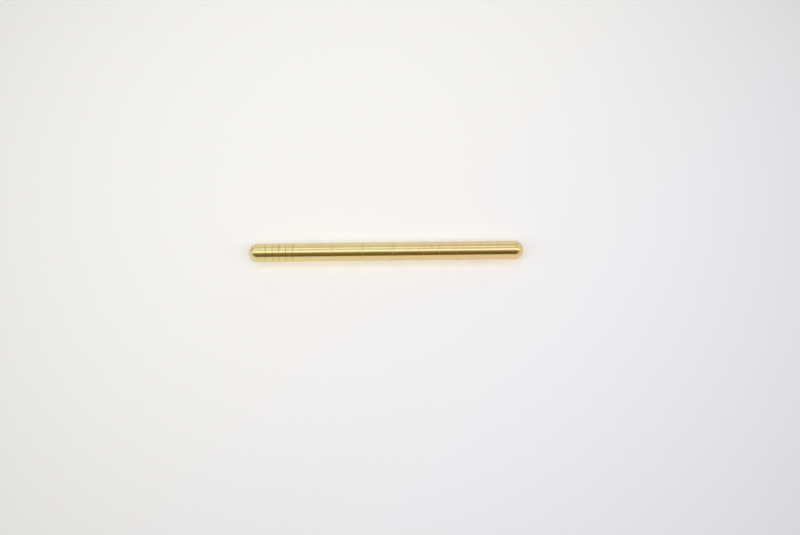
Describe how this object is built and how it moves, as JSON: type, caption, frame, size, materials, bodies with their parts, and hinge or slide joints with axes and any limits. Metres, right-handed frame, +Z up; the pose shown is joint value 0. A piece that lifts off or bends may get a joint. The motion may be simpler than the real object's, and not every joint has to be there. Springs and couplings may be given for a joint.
{
  "type": "index pin",
  "caption": "Solid turned brass index pin with domed ends and a group of fine ring marks near one end, pushed into a hole to locate the next part or jig.",
  "frame": {"origin": "on the pin's axis, midway between the two domed tips", "axes": "+X along the pin's axis, from the ring-marked end to the plain end; +Z up as the pin lies on a surface"},
  "size_m": [0.0952, 0.0064, 0.0064],
  "materials": {
    "brass": "turned bright, lightly polished"
  },
  "bodies": {
    "root": {"index_pin": "brass"}
  },
  "joints": []
}
